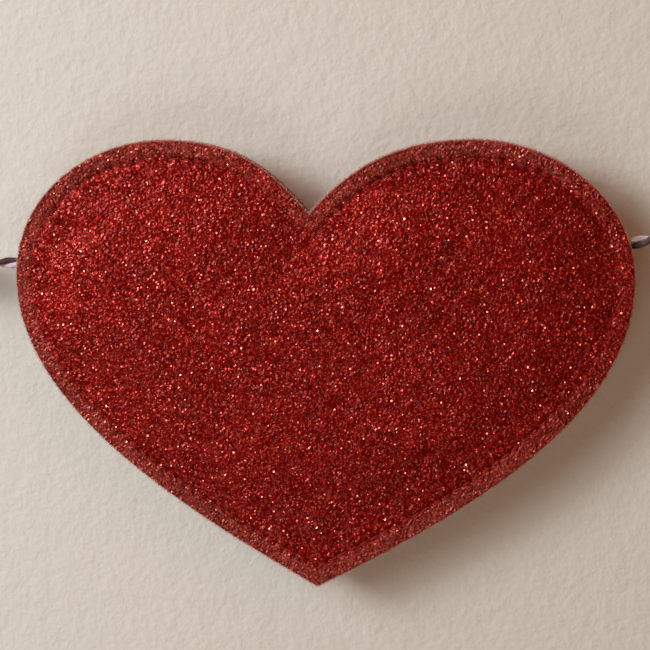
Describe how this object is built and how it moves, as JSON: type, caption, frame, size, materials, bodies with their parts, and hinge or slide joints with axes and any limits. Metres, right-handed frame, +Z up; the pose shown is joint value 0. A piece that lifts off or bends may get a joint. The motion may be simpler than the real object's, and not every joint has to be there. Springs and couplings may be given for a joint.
{
  "type": "padded glitter heart garland pennant",
  "caption": "Lightly padded heart in red glitter fabric, machine-sewn round its edge and strung on a length of two-colour twine that ends in hanging loops.",
  "frame": {"origin": "on the twine's axis, midway along the stretch inside the heart and in the middle of the heart's thickness", "axes": "+X along the twine to the viewer's right, +Z up, and the glittered front faces -Y"},
  "size_m": [0.213, 0.0073, 0.0883],
  "materials": {
    "glitter": "coarse red glitter bonded to cloth, many small bright flakes",
    "felt": "short-napped wool-blend felt, matt, fuzzy at the cut edge",
    "wadding": "soft needled polyester wadding, matt",
    "thread": "red polyester sewing thread, faint sheen",
    "twine": "two-ply twine, one dark brown ply and one pale lilac-white ply, lightly hairy"
  },
  "bodies": {
    "twine": {"twine_core": "twine", "left_lead": "twine", "left_knot": "twine", "left_loop": "twine", "right_lead": "twine", "right_knot": "twine", "right_loop": "twine"},
    "heart": {"wadding": "wadding", "front_felt": "felt", "back_felt": "felt", "glitter_coat": "glitter", "needle_thread": "thread", "bobbin_thread": "thread"}
  },
  "joints": [
    {"name": "heart_swing", "type": "hinge", "parent": "twine", "child": "heart", "pos_m": [0, 0, 0], "axis": [1, 0, 0], "range_deg": [-90, 90]}
  ]
}
